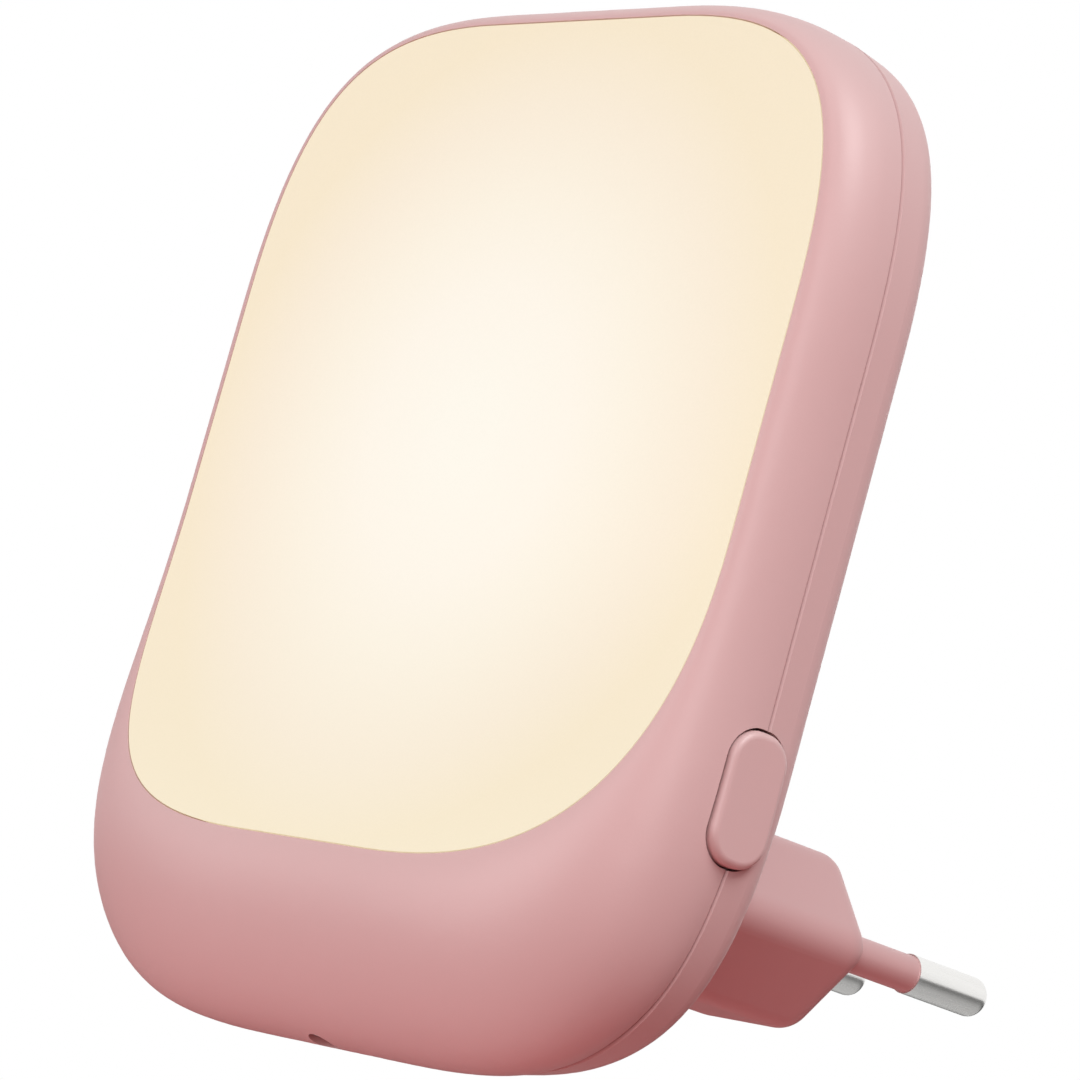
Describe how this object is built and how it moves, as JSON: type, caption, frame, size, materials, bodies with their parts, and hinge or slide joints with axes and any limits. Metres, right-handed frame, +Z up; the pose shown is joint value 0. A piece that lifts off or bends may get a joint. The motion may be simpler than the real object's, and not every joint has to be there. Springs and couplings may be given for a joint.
{
  "type": "plug in night light",
  "caption": "Plug in night light: pink rounded square case with a large swept opal face, side push button, underside light sensor and a two-pin plug block behind.",
  "frame": {"origin": "centre of the plug block's end face, midway between the roots of the two pins", "axes": "+Y into the wall socket along the plug, +Z up, +X to the right for someone who faces the light"},
  "size_m": [0.0882, 0.0794, 0.1005],
  "materials": {
    "shell_pink": "fine satin moulding, dusty pink",
    "button_pink": "fine satin moulding, same pink as the housing",
    "sleeve_pink": "smooth insulating sleeve",
    "opal": "opal milk white, lit from behind in warm white",
    "white_reflector": "matt white, highly reflective",
    "white_board": "white solder mask",
    "green_board": "green solder mask",
    "led_phosphor": "yellow phosphor in a white package",
    "black_epoxy": "moulded epoxy",
    "tinned_metal": "bright tin plate",
    "red_film": "dipped lacquer",
    "can_sleeve": "shrunk plastic sleeve",
    "resistor_lacquer": "flameproof lacquer",
    "nickel": "polished nickel on brass",
    "zinc_steel": "zinc plated",
    "black_plastic": "plain moulding",
    "clear_epoxy": "water clear epoxy",
    "smoke_plastic": "dark translucent, polished"
  },
  "bodies": {
    "case": {"front_shell": "shell_pink", "rear_cover": "shell_pink", "plug_block": "shell_pink", "pin_sleeve_left": "sleeve_pink", "pin_sleeve_right": "sleeve_pink", "diffuser": "opal", "light_box": "white_reflector", "main_board": "white_board", "driver_board": "green_board", "leds": "led_phosphor", "controller_chip": "black_epoxy", "chip_resistors": "black_epoxy", "bridge_rectifier": "black_epoxy", "board_link": "tinned_metal", "film_capacitor": "red_film", "electrolytic_capacitor": "can_sleeve", "fusible_resistor": "resistor_lacquer", "contact_pin_left": "nickel", "contact_pin_right": "nickel", "case_screws": "zinc_steel", "board_screws": "zinc_steel", "block_screws": "zinc_steel", "switch_body": "black_plastic", "switch_cover": "tinned_metal", "snap_dome": "tinned_metal", "light_sensor": "clear_epoxy", "sensor_lens": "smoke_plastic"},
    "button": {"side_button": "button_pink"},
    "plunger": {"switch_plunger": "black_plastic"}
  },
  "joints": [
    {"name": "button_press", "type": "slide", "parent": "case", "child": "button", "axis": [-1, 0, 0], "range_m": [0, 0.0008], "stiffness_N_per_m": 1500},
    {"name": "plunger_press", "type": "slide", "parent": "case", "child": "plunger", "axis": [-1, 0, 0], "range_m": [0, 0.0008]}
  ],
  "couplings": [
    {"joint": "plunger_press", "follows": "button_press", "ratio": 1}
  ]
}
